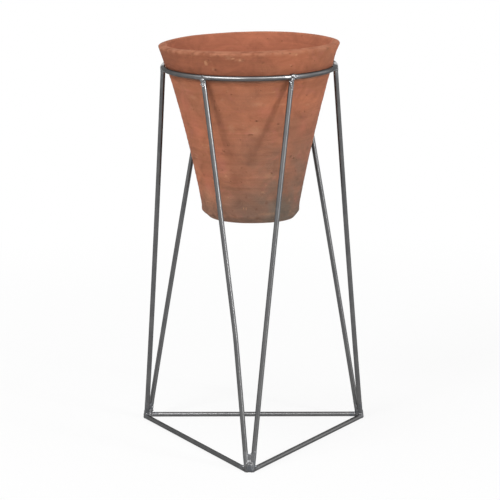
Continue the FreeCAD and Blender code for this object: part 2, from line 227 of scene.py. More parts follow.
def potProfile():
    s = potSizes
    n = potSteps
    under = (s["underRadius"], 0)
    foot = (s["footRadius"], s["footHeight"])
    neck = (s["neckRadius"], s["neckHeight"])
    skirt = (s["skirtRadius"], s["neckHeight"])
    lip = (s["lipRadius"], s["lipSlopeFoot"])
    crest = (s["mouthRadius"], s["crestHeight"])
    innerNeck = (s["innerNeckRadius"], s["neckHeight"])
    innerFoot = (s["innerFootRadius"] + s["innerFootFlare"], s["floorThickness"] + s["floorChamfer"])
    floorEdge = (s["innerFootRadius"] - s["floorChamfer"], s["floorThickness"])
    holeTop = (s["holeRadius"], s["floorThickness"])
    holeFoot = (s["holeRadius"], 0)
    outerLip = rounded(skirt, lip, crest, s["lipRoundOut"], n["lipRound"])
    innerLip = rounded(lip, crest, innerNeck, s["lipRoundIn"], n["rimRound"])
    points = stretch(holeFoot, under, n["under"])
    points += stretch(under, foot, n["foot"])
    points += stretch(foot, neck, n["body"], -s["wallBow"])
    points += stretch(neck, skirt, n["skirt"])
    points += stretch(skirt, outerLip[0], n["collar"])
    points += outerLip
    points += stretch(outerLip[-1], innerLip[0], n["rim"])[1:]
    points += innerLip
    points += stretch(innerLip[-1], innerNeck, n["innerCollar"])[1:]
    points += stretch(innerNeck, innerFoot, n["innerBody"], s["wallBow"])
    points += stretch(innerFoot, floorEdge, n["floorChamfer"])
    points += stretch(floorEdge, holeTop, n["floor"])
    points += stretch(holeTop, holeFoot, n["hole"])
    return points


def spunPot():
    bm = bmesh.new()
    points = [bm.verts.new((p.x, 0, p.y + potLow.z)) for p in potProfile()]
    edges = [bm.edges.new(pair) for pair in zip(points, points[1:] + points[:1])]
    bmesh.ops.spin(
        bm, geom=points + edges, cent=(0, 0, 0), axis=(0, 0, 1),
        angle=math.tau, steps=potSizes["turns"], use_merge=True,
    )
    bmesh.ops.remove_doubles(bm, verts=bm.verts, dist=potSizes["mergeGap"])
    bmesh.ops.recalc_face_normals(bm, faces=bm.faces)
    return bm


# what the thrower's hands and the years left on the pot
handWork = {
    "seed": 11,
    "inwardTurn": -0.2,  # a face whose normal leans further in than this is on the inner wall
    "floorReach": 0.05,  # the floor inside, out from the axis
    "floorShare": 0.9,
    "ridgePitch": 0.0062,
    "ridgeDepth": 0.00017,
    "ridgeDrift": 0.8,
    "driftScales": (14, 14, 60),  # along X, Y and Z, as in the other scales here
    "ridgeScales": (9, 9, 30),
    "ridgeShift": 7,
    "lumpDepth": 0.00024,
    "lumpScales": (22, 22, 45),
    "lumpLayers": (1.0, 2.0, 4),  # how fast they fade, how much finer each is, and how many
    "wobble": 0.0005,
    "wobbleScales": (0.8, 0.8, 6),
    "wobbleShift": 3,
    "wobbleMiddle": 0.35,
    "wobbleFrom": 0.05,  # the height from which it is at its full
    "crestWobble": 0.0004,
    "crestScales": (1.6, 1.6, 0),
    "crestShift": 5,
    "rimLow": 0.0022,  # how far the rim lies under its highest point, on average
    "rimTipAcross": 0.00135,  # lower on the left than on the right
    "rimTipAlong": 0.0015,  # lower at the back than at the front
    "rimWave": 0.0005,
    "rimRight": 0.0016,  # how far the rim is pulled out of round on each side
    "rimLeft": 0.0008,
    "footLean": 0.0015,  # how far the underside slopes down to the right
    "footRise": 0.0006,  # how far it slopes up to the left
    "footSpread": 0.0030,
    "footFlare": 0.0016,  # how far the foot's edge stands out on both sides
    "flareHeight": 0.007,
    "flareReach": 0.006,
    "footLeanHeight": 0.03,
    "collarDent": 0.0016,  # how far the collar's right side is pressed in half-way up
    "bodyShift": 0.0008,  # how far the wall under the collar stands to the right
    "seatHeight": 0.1839,
    "seatReach": 0.012,
    "seatCalm": 0.85,  # how much of the hand work is left out where the pot sits in the ring
    "pits": 150,
    "pitHeights": (0.006, 0.212),
    "pitOutside": 0.75,  # the share of them on the outside
    "pitInset": 0.011,  # how far in from the outside the others start
    "pitReach": (0.0013, 0.0030),
    "pitDepth": (0.0002, 0.0006),
    "seatClear": 0.008,  # no pit this near to where the pot sits in the ring
    "chips": 26,
    "chipAtFoot": 0.4,  # the share of them at the foot, and the others are at the lip
    "footChipHeights": (0.004, 0.008),
    "footChipInset": 0.001,
    "lipChipHeights": (0.2125, 0.2165),
    "chipReach": (0.0022, 0.0045),
    "chipDepth": (0.0005, 0.0012),
    "markStray": 0.006,  # a pit or chip that starts further from the wall is left out
    "markSearch": 1.4,
    "markRagged": 0.5,
    "markScale": 900,
}


def rimDip(azimuth):
    w = handWork
    tip = w["rimTipAlong"] * math.sin(azimuth) - w["rimTipAcross"] * math.cos(azimuth)
    return w["rimLow"] + tip + w["rimWave"] * math.cos(2 * azimuth)


def spaced(spot, scales, shift=0.0):
    return Vector((spot[0] * scales[0], spot[1] * scales[1], spot[2] * scales[2] + shift))


def handMark(bm):
    w = handWork
    s = potSizes
    wear = bm.verts.layers.float.new("wear")
    bm.verts.layers.float.new("pit")
    inside = bm.verts.layers.float.new("inside")
    bm.normal_update()
    seat = w["seatHeight"]
    for vertex in bm.verts:
        x, y, z = vertex.co
        radius = math.hypot(x, y)
        azimuth = math.atan2(y, x)
        height = z - potLow.z
        spot = (x, y, height)
        around = (math.cos(azimuth), math.sin(azimuth), height)
        out = Vector((x, y, 0)).normalized()
        inward = vertex.normal.dot(out) < w["inwardTurn"]
        onFloor = height > s["floorThickness"] * w["floorShare"] and radius < w["floorReach"]
        vertex[inside] = 1.0 if inward or onFloor else 0.0
        seated = 0.0 if inward else math.exp(-(((height - seat) / w["seatReach"]) ** 2))
        free = 1 - w["seatCalm"] * seated
        climb = height / w["ridgePitch"] + azimuth / math.tau
        drift = noise.noise(spaced(spot, w["driftScales"]))
        ridge = math.sin(math.tau * (climb + drift * w["ridgeDrift"]))
        strength = 0.5 + 0.5 * noise.noise(spaced(spot, w["ridgeScales"], w["ridgeShift"]))
        lump = noise.fractal(spaced(spot, w["lumpScales"]), *w["lumpLayers"])
        sway = noise.noise(spaced(around, w["wobbleScales"], w["wobbleShift"])) - w["wobbleMiddle"]
        push = ridge * strength * w["ridgeDepth"] + lump * w["lumpDepth"]
        if not inward:
            push -= w["lumpDepth"]
        vertex.co += vertex.normal * push * free
        vertex.co += out * sway * w["wobble"] * free * min(1.0, height / w["wobbleFrom"])
        nearCrest = max(0.0, (height - seat) / (s["crestHeight"] - seat))
        dip = 0.5 + 0.5 * noise.noise(spaced(around, w["crestScales"], w["crestShift"]))
        vertex.co.z -= (dip * w["crestWobble"] + rimDip(azimuth)) * nearCrest
        pull = w["rimRight"] if out.x > 0 else w["rimLeft"]
        vertex.co.x += out.x * abs(out.x) * pull * nearCrest
        vertex.co.x -= max(0.0, out.x) ** 2 * w["collarDent"] * 4 * nearCrest * max(0.0, 1 - nearCrest)
        vertex.co.x += w["bodyShift"] * math.sin(math.pi * min(1.0, height / seat)) ** 0.5
        nearFoot = max(0.0, 1 - height / w["footLeanHeight"])
        across = vertex.co.x / s["footRadius"]
        vertex.co.z -= across * (w["footLean"] if across > 0 else w["footRise"]) * nearFoot
        flare = 0.0 if inward else math.exp(-(((height - w["flareHeight"]) / w["flareReach"]) ** 2))
        vertex.co.x += across * abs(across) * w["footFlare"] * flare * nearFoot
        vertex.co.x += max(0.0, across) * w["footSpread"] * max(0.0, 1 - height / s["footHeight"])
        vertex[wear] = edgeWear(radius, height)


potWear = {  # how far the wear reaches from each edge, and how strong it is there
    "skirt": (0.0022, 1.0),
    "foot": (0.0040, 0.25),
    "under": (0.0030, 0.2),
    "lip": (0.0034, 1.25),
}


def edgeWear(radius, height):
    s = potSizes
    edges = {
        "skirt": (s["skirtRadius"], s["neckHeight"]),
        "foot": (s["footRadius"], s["footHeight"]),
        "under": (s["underRadius"], 0.0),
    }
    found = []
    for name, (edgeRadius, edgeHeight) in edges.items():
        reach, strength = potWear[name]
        away = math.hypot(radius - edgeRadius, height - edgeHeight)
        found.append(strength * (1 - away / reach))
    lip = Vector((s["lipRadius"], s["lipSlopeFoot"]))
    crest = Vector((s["mouthRadius"], s["crestHeight"]))
    along = (Vector((radius, height)) - lip).dot(crest - lip) / (crest - lip).length_squared
    near = lip.lerp(crest, min(1.0, max(0.0, along)))
    reach, strength = potWear["lip"]
    found.append(strength - (Vector((radius, height)) - near).length / reach)
    return min(1.0, max(0.0, max(found)))


def drawnPits(draw):
    w = handWork
    s = potSizes
    found = []
    for step in range(w["pits"]):
        height = draw.uniform(*w["pitHeights"])
        if abs(height - w["seatHeight"]) < w["seatClear"]:
            continue
        around = draw.uniform(-math.pi, math.pi)
        outside = s["footRadius"] + (s["lipRadius"] - s["footRadius"]) * height / s["lipSlopeFoot"]
        radius = outside - (0.0 if draw.random() < w["pitOutside"] else w["pitInset"])
        found.append((radius, around, height, draw.uniform(*w["pitReach"]), draw.uniform(*w["pitDepth"])))
    return found


def drawnChips(draw):
    w = handWork
    s = potSizes
    found = []
    for step in range(w["chips"]):
        if draw.random() < w["chipAtFoot"]:
            height = draw.uniform(*w["footChipHeights"])
            radius = s["footRadius"] - w["footChipInset"]
        else:
            height = draw.uniform(*w["lipChipHeights"])
            radius = draw.choice((s["lipRadius"], s["mouthRadius"]))
        around = draw.uniform(-math.pi, math.pi)
        found.append((radius, around, height, draw.uniform(*w["chipReach"]), draw.uniform(*w["chipDepth"])))
    return found


def pitPot(bm):
    w = handWork
    draw = random.Random(w["seed"])
    pit = bm.verts.layers.float["pit"]
    tree = KDTree(len(bm.verts))
    bm.verts.ensure_lookup_table()
    for vertex in bm.verts:
        tree.insert(vertex.co, vertex.index)
    tree.balance()
    for radius, around, height, reach, depth in drawnPits(draw) + drawnChips(draw):
        middle = Vector((math.cos(around) * radius, math.sin(around) * radius, height + potLow.z))
        onWall = tree.find(middle)[0]
        if (onWall - middle).length > w["markStray"]:
            continue
        for place, index, distance in tree.find_range(onWall, reach * w["markSearch"]):
            vertex = bm.verts[index]
            ragged = distance / reach * (1 + w["markRagged"] * noise.noise(place * w["markScale"]))
            if ragged < 1:
                share = (1 - ragged * ragged) ** 2
                vertex.co -= vertex.normal * depth * share
                vertex[pit] = max(vertex[pit], share)


def finished(bm, name, body, material, replaced, sharp=40):
    limit = math.radians(sharp)
    for face in bm.faces:
        face.smooth = True
    for edge in bm.edges:
        edge.smooth = len(edge.link_faces) != 2 or edge.calc_face_angle(0) < limit
    mesh = bpy.data.meshes.new(name)
    bm.to_mesh(mesh)
    bm.free()
    piece = bpy.data.objects.new(name, mesh)
    scene.collection.objects.link(piece)
    mesh.materials.append(material)
    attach(piece, body)
    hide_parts(*replaced)


# marks on the pot: azimuth, height above the underside, half width and half height
# pits and dabs lie where the real pot shows them, and the smears and the other blushes follow its patches
# of tone
# the darker marks on the middle of the body are painted shade, and part of the blushes are painted light on
# the body's left side
potMarks = {
    "pit": [
        (-47.8, 0.0827, 0.0016, 0.0015),
        (-43.5, 0.0800, 0.0014, 0.0013),
        (-37.2, 0.0626, 0.0011, 0.0019),
        (-67.4, 0.0636, 0.0012, 0.0013),
        (-113.2, 0.0914, 0.0014, 0.0016),
        (-114.8, 0.0885, 0.0010, 0.0010),
        (-107.4, 0.0676, 0.0011, 0.0018),
        (-87.9, 0.1133, 0.0024, 0.0010),
        (-83.2, 0.1306, 0.0013, 0.0012),
        (-64.8, 0.1251, 0.0013, 0.0012),
        (-41.4, 0.1577, 0.0010, 0.0010),
        (-39.8, 0.1371, 0.0010, 0.0010),
        (-101.8, 0.1630, 0.0013, 0.0012),
        (-60.1, 0.1963, 0.0014, 0.0013),
        (-62.6, 0.2124, 0.0015, 0.0010),
        (-111.1, 0.1934, 0.0010, 0.0020),
    ],
    "dab": [
        (-117.3, 0.2008, 0.0024, 0.0040),
        (-98.7, 0.2079, 0.0022, 0.0014),
        (-94.4, 0.2059, 0.0020, 0.0011),
        (-57.9, 0.2101, 0.0024, 0.0015),
        (-60.6, 0.1975, 0.0013, 0.0012),
        (-96.3, 0.0185, 0.0006, 0.0050),
        (-93.5, 0.0185, 0.0006, 0.0045),
    ],
    "smear": [
        (-112.5, 0.1942, 0.0020, 0.0022),
        (-101.5, 0.2085, 0.0060, 0.0030),
        (-95.0, 0.2062, 0.0070, 0.0026),
        (-60.5, 0.2110, 0.0060, 0.0026),
        (-81.6, 0.1512, 0.0100, 0.0030),
        (-63.6, 0.1496, 0.0060, 0.0020),
        (-37.5, 0.1452, 0.0060, 0.0020),
        (-108.8, 0.1560, 0.0026, 0.0022),
        (-136.0, 0.1560, 0.0080, 0.0030),
        (-84.0, 0.1180, 0.0090, 0.0070),
        (-104.0, 0.1210, 0.0050, 0.0070),
        (-70.0, 0.0610, 0.0060, 0.0040),
        (-34.8, 0.0117, 0.0024, 0.0020),
        (-40.0, 0.0270, 0.0034, 0.0034),
        (-68.0, 0.0125, 0.0120, 0.0022),
        (-142.0, 0.0300, 0.0120, 0.0160),
    ],
    # painted shade, darkening the middle of the body
    "paintedShade": [
        (-88.0, 0.1550, 0.0260, 0.0200),
        (-86.0, 0.1000, 0.0240, 0.0320),
        (-40.0, 0.0950, 0.0140, 0.0220),
    ],
    # paler patches of the clay, and in part painted light that brightens the body's left side
    "blushAndPaintedLight": [
        (-149.0, 0.1460, 0.0160, 0.0180),
        (-76.8, 0.1416, 0.0130, 0.0080),
        (-141.4, 0.1169, 0.0120, 0.0200),
        (-139.2, 0.0447, 0.0100, 0.0220),
        (-37.8, 0.1162, 0.0100, 0.0130),
        (-120.0, 0.0850, 0.0090, 0.0120),
    ],
}
# how strongly each kind shows, and how near to its middle it is at its full strength
markShares = {"paintedShade": 0.34, "blushAndPaintedLight": 0.45, "smear": 0.26, "dab": 0.5, "pit": 0.5}
markEdges = {"paintedShade": 0.2, "blushAndPaintedLight": 0.1, "smear": 0.15, "dab": 0.45, "pit": 0.5}
markFade = 1.15  # how far from its middle each has faded out, where its half width is 1


clay = {
    "orange": tone(168, 102, 74),
    "brown": tone(150, 96, 71),
    "dusty": tone(105, 92, 80),
    # grime at the foot, and the painted shadow of the ring under the ring
    "grimeAndShadow": tone(105, 90, 79),
    "inside": tone(170, 104, 78),
    "collar": tone(134, 80, 58),
    "pink": tone(164, 100, 84),
    # painted shade for the middle of the body
    "paintedShade": tone(132, 92, 72),
    # paler clay, and in part painted light on the body's left side
    "blushAndPaintedLight": tone(178, 106, 84),
    "smear": tone(184, 136, 104),
    "dab": tone(194, 142, 104),
    "pit": tone(88, 52, 36),
    "buff": tone(190, 144, 108),
    "worn": tone(169, 112, 85),
    "dirt": tone(84, 54, 38),
}
clayLook = {
    "patterns": {  # scales along X, Y and Z, then detail, roughness and warp
        "clouds": ((16, 16, 22), 5.0, 0.6, 0.4),
        "bands": ((3, 3, 190), 4.0, 0.6),
        "fineBands": ((9, 9, 700), 2.0, 0.5),
        "mottle": ((30, 30, 40), 4.0, 0.6, 0.6),
        "pink": ((38, 38, 60), 5.0, 0.65, 0.8),
        "buff": ((55, 55, 120), 6.0, 0.7, 1.2),
        "patches": ((34, 34, 44), 5.0, 0.7, 1.0),
        "rub": ((90, 90, 90), 4.0, 0.6),
        "ragged": ((420, 420, 420), 4.0, 0.65),
        "sand": ((1400, 1400, 1400), 3.0, 0.6),
    },
    "ranges": {  # where each effect starts and ends, and what it runs between if not 0 and 1
        "brown": (0.36, 0.66),
        "dustUp": (0.155, 0.015),
        "dustAcross": (-0.055, 0.035, 0.08, 1.0),
        "dustMottle": (0.28, 0.6, 0.45, 1.0),
        "pink": (0.56, 0.72, 0.0, 0.55),
        "collarUp": (0.176, 0.186),
        "collarClouds": (0.3, 0.7, 0.95, 0.5),
        # the collar's darker tone fades out to the right: painted light on the collar's right side
        "collarPaintedLight": (0.0, 0.07, 1.0, 0.0),
        "buff": (0.62, 0.74, 0.0, 0.5),
        "footGrime": (0.050, 0.002, 0.0, 0.7),
        # where the painted shadow under the ring starts and ends
        "ringShadowFrom": (0.1765, 0.1795),
        "ringShadowTo": (0.1835, 0.1815),
        "grimeAndShadowClouds": (0.3, 0.6, 0.7, 1.0),
        "outside": (0.0, 1.0, 1.0, 0.0),
        "patches": (0.3, 0.7, 0.80, 1.18),
        "bands": (0.3, 0.7, 0.93, 1.06),
        "fineBands": (0.3, 0.7, 0.97, 1.02),
        "rub": (0.38, 0.6, 0.0, 1.0),
        "ragged": (0.3, 0.7, -0.45, 0.45),
        "rough": (0.3, 0.7, 0.82, 0.95),
    },
    "shares": {"inside": 0.8, "ringShadow": 0.7, "worn": 0.85, "dots": 0.7, "grit": 0.6, "pit": 0.45},
    "dots": (330, (0.30, 0.12), (0.90, 0.92)),  # scale, and the ranges of size and of which are kept
    "grit": (420, (0.28, 0.1), (0.93, 0.94)),
    "bumps": {"bands": 0.0006, "fineBands": 0.00025, "sand": 0.00022, "dots": 0.0006, "pit": 0.0007},
    "sockets": {"Specular IOR Level": 0.12},
}


def marked(tree, place, kind, ragged):
    found = 0.0
    for azimuth, height, wide, tall in potMarks[kind]:
        reach = wallRadius(height)
        turn = math.radians(azimuth)
        middle = (reach * math.cos(turn), reach * math.sin(turn), height + potLow.z)
        off = add(tree, "VectorMath", {0: place, 1: middle}, operation="SUBTRACT").outputs[0]
        sizes = (1 / wide, 1 / wide, 1 / tall)
        sized = add(tree, "VectorMath", {0: off, 1: sizes}, operation="MULTIPLY").outputs[0]
        away = add(tree, "VectorMath", {0: sized}, operation="LENGTH").outputs["Value"]
        mask = spread(tree, combine(tree, "ADD", away, ragged), markFade, markEdges[kind])
        found = combine(tree, "MAXIMUM", mask, found)
    return found


def wallRadius(height):
    s = potSizes
    if height > s["neckHeight"]:
        share = (height - s["neckHeight"]) / (s["lipSlopeFoot"] - s["neckHeight"])
        return s["skirtRadius"] + (s["lipRadius"] - s["skirtRadius"]) * share
    share = max(0.0, (height - s["footHeight"]) / (s["neckHeight"] - s["footHeight"]))
    straight = s["footRadius"] + (s["neckRadius"] - s["footRadius"]) * share
    return straight - 4 * s["wallBow"] * share * (1 - share)


def makeTerracotta():
    material, tree, shader = newMaterial("terracotta")
    shares = clayLook["shares"]
    bumps = clayLook["bumps"]
    place = add(tree, "TexCoord").outputs["Object"]
    apart = add(tree, "SeparateXYZ", {0: place})
    across = apart.outputs["X"]
    height = combine(tree, "SUBTRACT", apart.outputs["Z"], potLow.z)
    inside = attribute(tree, "inside")
    made = grains(tree, place, clayLook)
    clouds = made["clouds"]

    def ranged(name, value):
        return spread(tree, value, *clayLook["ranges"][name])

    def tinted(below, share, name):
        return mixColours(tree, share, below, clay[name])

    # the fired body: dusty low down on the right, darker on the collar
    colour = tinted(clay["orange"], ranged("brown", clouds), "brown")
    dusty = times(tree, ranged("dustUp", height), ranged("dustAcross", across))
    colour = tinted(colour, times(tree, dusty, ranged("dustMottle", made["mottle"])), "dusty")
    colour = tinted(colour, ranged("pink", made["pink"]), "pink")
    onCollar = times(tree, ranged("collarUp", height), ranged("collarClouds", clouds))
    # painted light: the collar's darker tone fades out towards its right side
    colour = tinted(colour, times(tree, onCollar, ranged("collarPaintedLight", across)), "collar")
    colour = tinted(colour, times(tree, inside, shares["inside"]), "inside")
    colour = tinted(colour, ranged("buff", made["buff"]), "buff")

    # grime at the foot, and painted shadow under the ring, on the outside only
    underRing = times(tree, ranged("ringShadowFrom", height), ranged("ringShadowTo", height))
    underRing = times(tree, underRing, shares["ringShadow"])
    grimeAndShadow = combine(tree, "MAXIMUM", ranged("footGrime", height), underRing)
    grimeAndShadow = times(tree, grimeAndShadow, ranged("grimeAndShadowClouds", clouds))
    colour = tinted(colour, times(tree, grimeAndShadow, ranged("outside", inside)), "grimeAndShadow")

    # lighter and darker bands and patches
    shade = times(tree, ranged("bands", made["bands"]), ranged("patches", made["patches"]))
    shade = times(tree, shade, ranged("fineBands", made["fineBands"]))
    shade = add(tree, "CombineXYZ", {0: shade, 1: shade, 2: shade}).outputs[0]
    colour = mixColours(tree, 1.0, colour, shade, "MULTIPLY")

    # wear, specks, pits and the marks placed one by one
    worn = times(tree, attribute(tree, "wear"), ranged("rub", made["rub"]))
    colour = tinted(colour, times(tree, worn, shares["worn"]), "worn")
    dots = specks(tree, place, *clayLook["dots"])
    colour = tinted(colour, times(tree, dots, shares["dots"]), "dirt")
    grit = specks(tree, place, *clayLook["grit"])
    colour = tinted(colour, times(tree, grit, shares["grit"]), "buff")
    colour = tinted(colour, times(tree, attribute(tree, "pit"), shares["pit"]), "dirt")
    ragged = ranged("ragged", made["ragged"])
    masks = {kind: marked(tree, place, kind, ragged) for kind in markShares}
    for kind, share in markShares.items():
        colour = tinted(colour, times(tree, masks[kind], share), kind)

    normal = bumped(tree, made["bands"], bumps["bands"])
    normal = bumped(tree, made["fineBands"], bumps["fineBands"], normal)
    normal = bumped(tree, made["sand"], bumps["sand"], normal)
    normal = bumped(tree, times(tree, dots, -1.0), bumps["dots"], normal)
    normal = bumped(tree, times(tree, masks["pit"], -1.0), bumps["pit"], normal)
    wire(tree, shader, colour, ranged("rough", clouds), normal)
    setSockets(shader, clayLook["sockets"])
    return material


terracotta = makeTerracotta()
potMesh = spunPot()
handMark(potMesh)
pitPot(potMesh)
finished(potMesh, "thrown_pot", "pot", terracotta, ["pot"], potSizes["sharpAngle"])
print("pot thrown")

# the steel bars and the welds that join them
ringLow, ringHigh, ringMiddle = onBox("support_ring")
rodRadius = (ringHigh.z - ringLow.z) / 2
ringRadius = (ringHigh.x - ringLow.x) / 2 - rodRadius
legNames = ["front_left", "front_right", "right_outer", "right_inner", "left_inner", "left_outer"]
baseNames = ["right_base_rod", "back_base_rod", "left_base_rod"]
cornerNames = ["front", "right", "left"]
rodNames = [name + "_leg" for name in legNames] + baseNames
weldNames = ["ring_seam_weld"] + [name + "_ring_weld" for name in legNames]
weldNames += [name + "_corner_weld" for name in cornerNames]
weldPlaces = [onBox(name)[2] for name in weldNames]

barSizes = {
    "mergeGap": 0.000002,
    "trimGap": 0.0000001,
    "slice": 0.004,
    "sliceGap": 0.000001,
    "waver": 0.000016,
    "waverScale": 200,
    "waverMiddle": 0.6,
    "waverFrom": 0.5,  # nothing lower than this share of the rod's radius is moved
    "heatReach": 0.020,
    "endRound": 0.0006,  # at the ring's two ends
    "endEdge": 1.0,  # radians, the angle over which an edge there is rounded
    "ringEnd": -60.0,  # azimuth of the end left of the seam
    "ringCutBack": 1.15,  # how far that end was sawn short
    "ringCutReach": 10.0,  # how much of the ring is drawn back with it
    "ringCutPast": 0.25,  # the share of the cut by which the end's own face may lie past it
    "shortTop": {"front_right_leg": 0.4595},  # this leg stops just under the ring
    "bow": {  # how far each leg stands out of line to the right, half-way up
        "front_left_leg": 0.00075,
        "front_right_leg": -0.00085,
        "left_outer_leg": 0.0008,
        "right_outer_leg": -0.00085,
        "left_inner_leg": -0.0007,
        "right_inner_leg": 0.0006,
    },
}


def trimmed(bm, spot, outward):
    geometry = bm.verts[:] + bm.edges[:] + bm.faces[:]
    gap = barSizes["trimGap"]
    found = bmesh.ops.bisect_plane(
        bm, geom=geometry, plane_co=spot, plane_no=outward, dist=gap, clear_outer=True,
    )
    rim = [item for item in found["geom_cut"] if isinstance(item, bmesh.types.BMEdge)]
    if rim:
        bmesh.ops.holes_fill(bm, edges=rim)


def mergedCopy(name):
    bm = bmesh.new()
    bm.from_mesh(nodes[name].data)
    bmesh.ops.remove_doubles(bm, verts=bm.verts, dist=barSizes["mergeGap"])
    if name in barSizes["shortTop"]:
        trimmed(bm, Vector((0, 0, barSizes["shortTop"][name])), Vector((0, 0, 1)))
    if name == "support_ring":
        cutBack(bm)
    return bm


def cutBack(bm):
    end = math.radians(barSizes["ringEnd"])
    reach = math.radians(barSizes["ringCutReach"])
    short = math.radians(barSizes["ringCutBack"])
    for vertex in bm.verts:
        beyond = math.atan2(vertex.co.y, vertex.co.x) - (end - reach)
        if 0 < beyond < reach + short * barSizes["ringCutPast"]:
            vertex.co = Matrix.Rotation(-short * beyond / reach, 3, "Z") @ vertex.co


def bowed(bm, name):
    bow = barSizes["bow"].get(name, 0.0)
    foot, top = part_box(name)
    for vertex in bm.verts:
        share = (vertex.co.z - foot.z) / (top.z - foot.z)
        vertex.co.x += bow * 4 * share * (1 - share)


def barLine(bm):
    points = numpy.array([vertex.co for vertex in bm.verts])
    middle = points.mean(0)
    direction = Vector(numpy.linalg.svd(points - middle)[2][0])
    if direction.z < -0.1:
        direction.negate()
    return Vector(middle), direction


def sliced(bm, middle, direction):
    gap = barSizes["sliceGap"]
    far = [(vertex.co - middle).dot(direction) for vertex in bm.verts]
    count = int((max(far) - min(far)) / barSizes["slice"])
    for step in range(1, count):
        spot = middle + direction * (min(far) + (max(far) - min(far)) * step / count)
        geometry = bm.verts[:] + bm.edges[:] + bm.faces[:]
        bmesh.ops.bisect_plane(bm, geom=geometry, plane_co=spot, plane_no=direction, dist=gap)


def handRolled(bm, straight):
    b = barSizes
    heat = bm.verts.layers.float.new("heat")
    drawn = bm.verts.layers.float_vector.new("drawn")
    bm.normal_update()
    for vertex in bm.verts:
        near = min((vertex.co - place).length for place in weldPlaces)
        vertex[heat] = max(0.0, 1 - near / b["heatReach"])
        vertex[drawn] = straight(vertex.co)
        depth = noise.noise(vertex.co * b["waverScale"]) - b["waverMiddle"]
        if vertex.co.z > rodRadius * b["waverFrom"]:
            vertex.co += vertex.normal * depth * b["waver"]


def makeBar(name, material):
    bm = mergedCopy(name)
    middle, direction = barLine(bm)
    sliced(bm, middle, direction)
    side = direction.orthogonal().normalized()
    other = direction.cross(side)

    def straight(point):
        off = point - middle
        return Vector((off.dot(side), off.dot(other), off.dot(direction)))

    handRolled(bm, straight)
    bowed(bm, name)
    finished(bm, "bar_" + name, "stand", material, [name])


def makeRing(material):
    bm = mergedCopy("support_ring")
    shared = [edge for edge in bm.edges if len(edge.link_faces) == 2]
    ends = [edge for edge in shared if edge.calc_face_angle(0) > barSizes["endEdge"]]
    bmesh.ops.bevel(
        bm, geom=ends, offset=barSizes["endRound"], affect="EDGES", segments=3, profile=0.5, material=-1,
    )

    def straight(point):
        around = math.atan2(point.y, point.x)
        out = math.hypot(point.x, point.y) - ringRadius
        return Vector((out, point.z - ringMiddle.z, around * ringRadius))

    handRolled(bm, straight)
    finished(bm, "bar_support_ring", "stand", material, ["support_ring"])


steel = {
    "light": tone(92, 92, 92),
    "dark": tone(78, 78, 79),
    "edge": tone(113, 112, 112),
    "blue": tone(68, 74, 82),
    "straw": tone(84, 77, 71),
    "weld": tone(102, 102, 103),
}
barLook = {  # patterns and ranges as for the clay
    "streaks": ((1500, 1500, 16), 3.0, 0.6),  # these run along the bar
    "patterns": {
        "patches": ((45, 45, 45), 4.0, 0.6, 0.5),
        "cloud": ((160, 160, 160), 3.0, 0.6),
    },
    "ranges": {
        "dark": (0.35, 0.65),
        "edge": (0.45, 0.75, 0.0, 0.35),
        "strawHeat": (0.1, 0.45),
        "strawCloud": (0.35, 0.65, 0.1, 0.6),
        "blueHeat": (0.4, 0.85),
        "blueCloud": (0.4, 0.6, 0.3, 0.8),
        "rough": (0.3, 0.7, 0.28, 0.35),
        "streakRough": (0.4, 0.8, 0.0, 0.08),
    },
    "bump": 0.000003,
    "sockets": {
        "Metallic": 1.0,
        "Specular Tint": tone(90, 90, 91),
        "Coat Weight": 0.4,
        "Coat Roughness": 0.28,
    },
}


def makeBarSteel():
    material, tree, shader = newMaterial("steel_rod")
    place = add(tree, "TexCoord").outputs["Object"]
    streaks = grain(tree, attribute(tree, "drawn", "Vector"), *barLook["streaks"])
    heat = attribute(tree, "heat")
    made = grains(tree, place, barLook)
    patches = made["patches"]
    cloud = made["cloud"]

    def ranged(name, value):
        return spread(tree, value, *barLook["ranges"][name])

    colour = mixColours(tree, ranged("dark", patches), steel["light"], steel["dark"])
    colour = mixColours(tree, ranged("edge", streaks), colour, steel["edge"])
    straw = times(tree, ranged("strawHeat", heat), ranged("strawCloud", cloud))
    colour = mixColours(tree, straw, colour, steel["straw"])
    blue = times(tree, ranged("blueHeat", heat), ranged("blueCloud", cloud))
    colour = mixColours(tree, blue, colour, steel["blue"])
    rough = combine(tree, "ADD", ranged("rough", patches), ranged("streakRough", streaks))
    wire(tree, shader, colour, rough, bumped(tree, streaks, barLook["bump"]))
    setSockets(shader, barLook["sockets"])
    return material


weldFinishes = {  # least and most roughness, and how much it shines
    "steel_weld": (0.22, 0.40, 0.9),
    "steel_weld_corner": (0.38, 0.55, 0.15),
}
weldLook = {
    "patterns": {
        "cloud": ((260, 260, 260), 4.0, 0.6, 0.5),
        "tint": ((120, 120, 120), 3.0, 0.6),
        "crust": ((900, 900, 900), 3.0, 0.6),
    },
    "ranges": {"dark": (0.35, 0.65), "blue": (0.5, 0.7, 0.0, 0.6), "rough": (0.3, 0.7)},
    "bump": 0.00010,
    "sockets": {"Metallic": 1.0, "Specular Tint": tone(190, 193, 197), "Coat Roughness": 0.10},
}


def makeWeldSteel(name):
    material, tree, shader = newMaterial(name)
    smoothest, roughest, shine = weldFinishes[name]
    ranges = weldLook["ranges"]
    made = grains(tree, add(tree, "TexCoord").outputs["Object"], weldLook)
    dark = spread(tree, made["cloud"], *ranges["dark"])
    colour = mixColours(tree, dark, steel["weld"], steel["dark"])
    colour = mixColours(tree, spread(tree, made["tint"], *ranges["blue"]), colour, steel["blue"])
    rough = spread(tree, made["cloud"], *ranges["rough"], smoothest, roughest)
    wire(tree, shader, colour, rough, bumped(tree, made["crust"], weldLook["bump"]))
    setSockets(shader, weldLook["sockets"])
    setSockets(shader, {"Coat Weight": shine})
    return material


